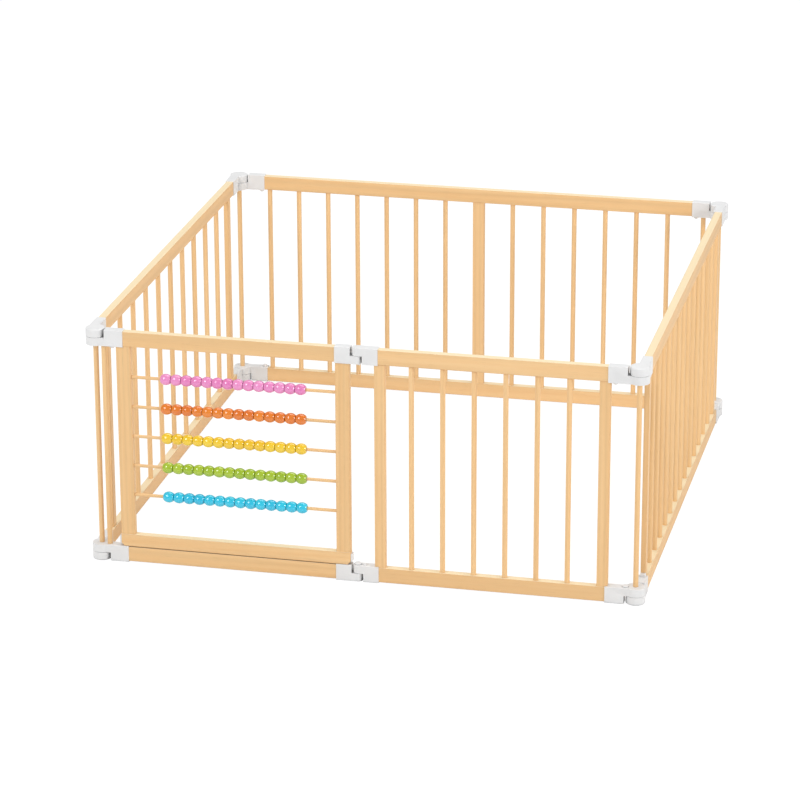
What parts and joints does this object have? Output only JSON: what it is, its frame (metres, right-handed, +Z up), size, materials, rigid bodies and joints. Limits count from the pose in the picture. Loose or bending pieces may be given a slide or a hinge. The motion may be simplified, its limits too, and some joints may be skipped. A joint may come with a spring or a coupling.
{
  "type": "folding playpen",
  "caption": "Square folding wooden playpen: four barred sides, an abacus panel with sliding beads in the front, and white plastic hinges at the corners and front middle.",
  "frame": {"origin": "on the floor, under the centre of the pen's footprint", "axes": "+X to the right along the front, +Y from the front with the abacus to the back, +Z up along the hinge axes"},
  "size_m": [1.4, 1.4, 0.61],
  "materials": {
    "pine": "satin clear varnish over pale straight-grained wood",
    "white_plastic": "satin moulded plastic",
    "pin_steel": "plain drawn steel",
    "beads_pink": "gloss paint",
    "beads_orange": "gloss paint",
    "beads_yellow": "gloss paint",
    "beads_green": "gloss paint",
    "beads_blue": "gloss paint"
  },
  "bodies": {
    "back_panel": {"back_top_rail": "pine", "back_bottom_rail": "pine", "back_centre_stile": "pine", "back_bars": "pine", "back_left_top_hinge": "white_plastic", "back_left_bottom_hinge": "white_plastic", "back_right_top_hinge": "white_plastic", "back_right_bottom_hinge": "white_plastic", "back_sleeve_screws": "white_plastic", "back_left_post": "pine", "back_right_post": "pine", "back_hinge_pins": "pin_steel"},
    "left_panel": {"left_top_rail": "pine", "left_bottom_rail": "pine", "left_end_stiles": "pine", "left_bars": "pine", "left_front_top_hinge": "white_plastic", "left_front_bottom_hinge": "white_plastic", "left_rear_top_hinge": "white_plastic", "left_rear_bottom_hinge": "white_plastic"},
    "right_panel": {"right_top_rail": "pine", "right_bottom_rail": "pine", "right_end_stiles": "pine", "right_bars": "pine", "right_front_top_hinge": "white_plastic", "right_front_bottom_hinge": "white_plastic", "right_rear_top_hinge": "white_plastic", "right_rear_bottom_hinge": "white_plastic"},
    "slatted_panel": {"slatted_top_rail": "pine", "slatted_bottom_rail": "pine", "slatted_end_stiles": "pine", "slatted_bars": "pine", "slatted_corner_top_hinge": "white_plastic", "slatted_corner_bottom_hinge": "white_plastic", "slatted_middle_top_hinge": "white_plastic", "slatted_middle_bottom_hinge": "white_plastic", "slatted_sleeve_screw": "white_plastic", "slatted_hinge_pins": "pin_steel", "front_right_post": "pine", "middle_hinge_pins": "white_plastic"},
    "abacus_panel": {"abacus_top_rail": "pine", "abacus_frame_rail": "pine", "abacus_base_rail": "pine", "abacus_side_stiles": "pine", "abacus_rods": "pine", "abacus_rail_caps": "white_plastic", "abacus_corner_top_hinge": "white_plastic", "abacus_corner_bottom_hinge": "white_plastic", "abacus_middle_top_hinge": "white_plastic", "abacus_middle_bottom_hinge": "white_plastic", "abacus_sleeve_screw": "white_plastic", "abacus_hinge_pins": "pin_steel", "front_left_posts": "pine"},
    "lock_button": {"lock_button": "white_plastic"},
    "bead_row_pink": {"beads_pink": "beads_pink"},
    "bead_row_orange": {"beads_orange": "beads_orange"},
    "bead_row_yellow": {"beads_yellow": "beads_yellow"},
    "bead_row_green": {"beads_green": "beads_green"},
    "bead_row_blue": {"beads_blue": "beads_blue"}
  },
  "joints": [
    {"name": "left_fold", "type": "hinge", "parent": "back_panel", "child": "left_panel", "pos_m": [-0.676, 0.676, 0.305], "axis": [0, 0, 1], "range_deg": [-60, 60]},
    {"name": "right_fold", "type": "hinge", "parent": "back_panel", "child": "right_panel", "pos_m": [0.676, 0.676, 0.305], "axis": [0, 0, 1], "range_deg": [-60, 60]},
    {"name": "abacus_fold", "type": "hinge", "parent": "left_panel", "child": "abacus_panel", "pos_m": [-0.676, -0.676, 0.305], "axis": [0, 0, 1], "range_deg": [-60, 60]},
    {"name": "slatted_fold", "type": "hinge", "parent": "right_panel", "child": "slatted_panel", "pos_m": [0.676, -0.676, 0.305], "axis": [0, 0, 1], "range_deg": [-60, 60]},
    {"name": "lock_press", "type": "slide", "parent": "slatted_panel", "child": "lock_button", "axis": [0, 0, 1], "range_m": [-0.002, 0], "stiffness_N_per_m": 300},
    {"name": "pink_slide", "type": "slide", "parent": "abacus_panel", "child": "bead_row_pink", "axis": [1, 0, 0], "range_m": [-0.074, 0.074]},
    {"name": "orange_slide", "type": "slide", "parent": "abacus_panel", "child": "bead_row_orange", "axis": [1, 0, 0], "range_m": [-0.074, 0.074]},
    {"name": "yellow_slide", "type": "slide", "parent": "abacus_panel", "child": "bead_row_yellow", "axis": [1, 0, 0], "range_m": [-0.074, 0.074]},
    {"name": "green_slide", "type": "slide", "parent": "abacus_panel", "child": "bead_row_green", "axis": [1, 0, 0], "range_m": [-0.074, 0.074]},
    {"name": "blue_slide", "type": "slide", "parent": "abacus_panel", "child": "bead_row_blue", "axis": [1, 0, 0], "range_m": [-0.074, 0.074]}
  ],
  "couplings": [
    {"joint": "right_fold", "follows": "left_fold", "ratio": 1},
    {"joint": "abacus_fold", "follows": "left_fold", "ratio": -1},
    {"joint": "slatted_fold", "follows": "left_fold", "ratio": -1}
  ]
}
